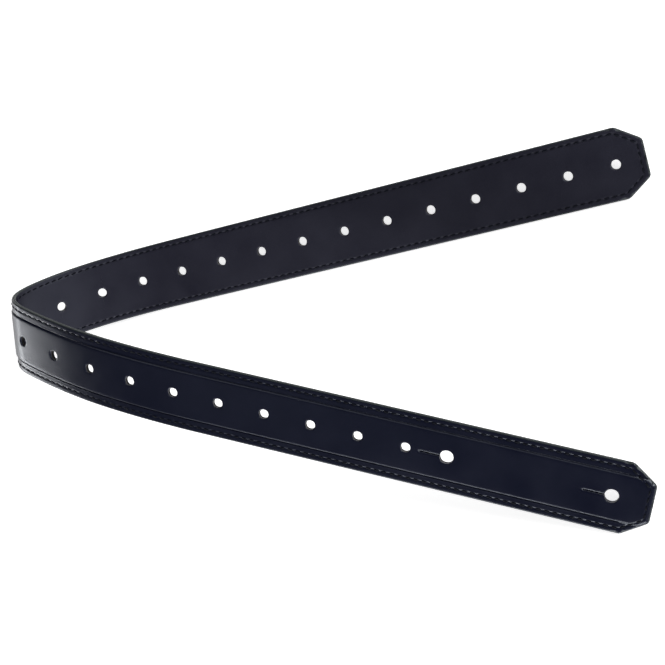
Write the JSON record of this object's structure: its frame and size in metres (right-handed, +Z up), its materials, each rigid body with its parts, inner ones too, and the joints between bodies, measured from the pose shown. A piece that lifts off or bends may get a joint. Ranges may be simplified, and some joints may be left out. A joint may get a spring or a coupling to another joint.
{
  "type": "saxophone neck strap",
  "caption": "Stitched black leather neck strap with clipped ends, a row of adjustment holes and keyholes, folded once into a V.",
  "frame": {"origin": "middle of the bounding box, at the surface that the strap lies on", "axes": "+Z up; +X along the plain half to its end, the fold is at -X; +Y from the keyhole half to the plain half"},
  "size_m": [0.3612, 0.2042, 0.0753],
  "materials": {
    "outer_leather": "semi-gloss black leather",
    "lining_leather": "matte black leather",
    "core_fibre": "bonded leather board",
    "thread": "waxed polyester thread"
  },
  "bodies": {
    "plain_half": {"plain_half_face_leather": "outer_leather", "plain_half_core_strip": "core_fibre", "plain_half_lining_leather": "lining_leather", "plain_half_needle_thread": "thread", "plain_half_bobbin_thread": "thread"},
    "plain_shoulder": {"plain_shoulder_face_leather": "outer_leather", "plain_shoulder_core_strip": "core_fibre", "plain_shoulder_lining_leather": "lining_leather", "plain_shoulder_needle_thread": "thread", "plain_shoulder_bobbin_thread": "thread"},
    "fold_1": {"fold_1_face_leather": "outer_leather", "fold_1_core_strip": "core_fibre", "fold_1_lining_leather": "lining_leather", "fold_1_needle_thread": "thread", "fold_1_bobbin_thread": "thread"},
    "fold_2": {"fold_2_face_leather": "outer_leather", "fold_2_core_strip": "core_fibre", "fold_2_lining_leather": "lining_leather", "fold_2_needle_thread": "thread", "fold_2_bobbin_thread": "thread"},
    "fold_3": {"fold_3_face_leather": "outer_leather", "fold_3_core_strip": "core_fibre", "fold_3_lining_leather": "lining_leather", "fold_3_needle_thread": "thread", "fold_3_bobbin_thread": "thread"},
    "fold_4": {"fold_4_face_leather": "outer_leather", "fold_4_core_strip": "core_fibre", "fold_4_lining_leather": "lining_leather", "fold_4_needle_thread": "thread", "fold_4_bobbin_thread": "thread"},
    "fold_5": {"fold_5_face_leather": "outer_leather", "fold_5_core_strip": "core_fibre", "fold_5_lining_leather": "lining_leather", "fold_5_needle_thread": "thread", "fold_5_bobbin_thread": "thread"},
    "fold_6": {"fold_6_face_leather": "outer_leather", "fold_6_core_strip": "core_fibre", "fold_6_lining_leather": "lining_leather", "fold_6_needle_thread": "thread", "fold_6_bobbin_thread": "thread"},
    "fold_7": {"fold_7_face_leather": "outer_leather", "fold_7_core_strip": "core_fibre", "fold_7_lining_leather": "lining_leather", "fold_7_needle_thread": "thread", "fold_7_bobbin_thread": "thread"},
    "fold_8": {"fold_8_face_leather": "outer_leather", "fold_8_core_strip": "core_fibre", "fold_8_lining_leather": "lining_leather", "fold_8_needle_thread": "thread", "fold_8_bobbin_thread": "thread"},
    "keyhole_shoulder": {"keyhole_shoulder_face_leather": "outer_leather", "keyhole_shoulder_core_strip": "core_fibre", "keyhole_shoulder_lining_leather": "lining_leather", "keyhole_shoulder_needle_thread": "thread", "keyhole_shoulder_bobbin_thread": "thread"},
    "keyhole_half": {"keyhole_half_face_leather": "outer_leather", "keyhole_half_core_strip": "core_fibre", "keyhole_half_lining_leather": "lining_leather", "keyhole_half_needle_thread": "thread", "keyhole_half_bobbin_thread": "thread"}
  },
  "joints": [
    {"name": "plain_half_flex", "type": "hinge", "parent": "plain_half", "child": "plain_shoulder", "pos_m": [-0.07667, 0.08451, 0.0088], "axis": [0.2164, 0.8861, 0.4098], "range_deg": [-30, 30]},
    {"name": "fold_bend_1", "type": "hinge", "parent": "plain_shoulder", "child": "fold_1", "pos_m": [-0.12106, 0.08354, 0.01085], "axis": [0.2164, 0.8861, 0.4098], "range_deg": [-20, 1.6]},
    {"name": "fold_bend_2", "type": "hinge", "parent": "fold_1", "child": "fold_2", "pos_m": [-0.15041, 0.07797, 0.02162], "axis": [0.2164, 0.8861, 0.4098], "range_deg": [-20, 1.6]},
    {"name": "fold_bend_3", "type": "hinge", "parent": "fold_2", "child": "fold_3", "pos_m": [-0.16633, 0.07089, 0.03404], "axis": [0.2164, 0.8861, 0.4098], "range_deg": [-16, 1.28]},
    {"name": "fold_bend_4", "type": "hinge", "parent": "fold_3", "child": "fold_4", "pos_m": [-0.17316, 0.06525, 0.04314], "axis": [0.2164, 0.8861, 0.4098], "range_deg": [-15.5, 1.24]},
    {"name": "fold_bend_5", "type": "hinge", "parent": "fold_4", "child": "fold_5", "pos_m": [-0.17557, 0.06096, 0.04945], "axis": [0.2164, 0.8861, 0.4098], "range_deg": [-28, 2.24]},
    {"name": "fold_bend_6", "type": "hinge", "parent": "fold_5", "child": "fold_6", "pos_m": [-0.17425, 0.05574, 0.0557], "axis": [0.2164, 0.8861, 0.4098], "range_deg": [-34, 2.72]},
    {"name": "fold_bend_7", "type": "hinge", "parent": "fold_6", "child": "fold_7", "pos_m": [-0.16865, 0.05041, 0.05968], "axis": [0.2164, 0.8861, 0.4098], "range_deg": [-19, 1.52]},
    {"name": "fold_bend_8", "type": "hinge", "parent": "fold_7", "child": "fold_8", "pos_m": [-0.15457, 0.04121, 0.06307], "axis": [0.2164, 0.8861, 0.4098], "range_deg": [-6, 0.48]},
    {"name": "fold_bend_9", "type": "hinge", "parent": "fold_8", "child": "keyhole_shoulder", "pos_m": [-0.12736, 0.02522, 0.06651], "axis": [0.2164, 0.8861, 0.4098], "range_deg": [-12, 0.96]},
    {"name": "keyhole_half_flex", "type": "hinge", "parent": "keyhole_shoulder", "child": "keyhole_half", "pos_m": [-0.08735, 0.00616, 0.06311], "axis": [0.2164, 0.8861, 0.4098], "range_deg": [-30, 30]}
  ]
}
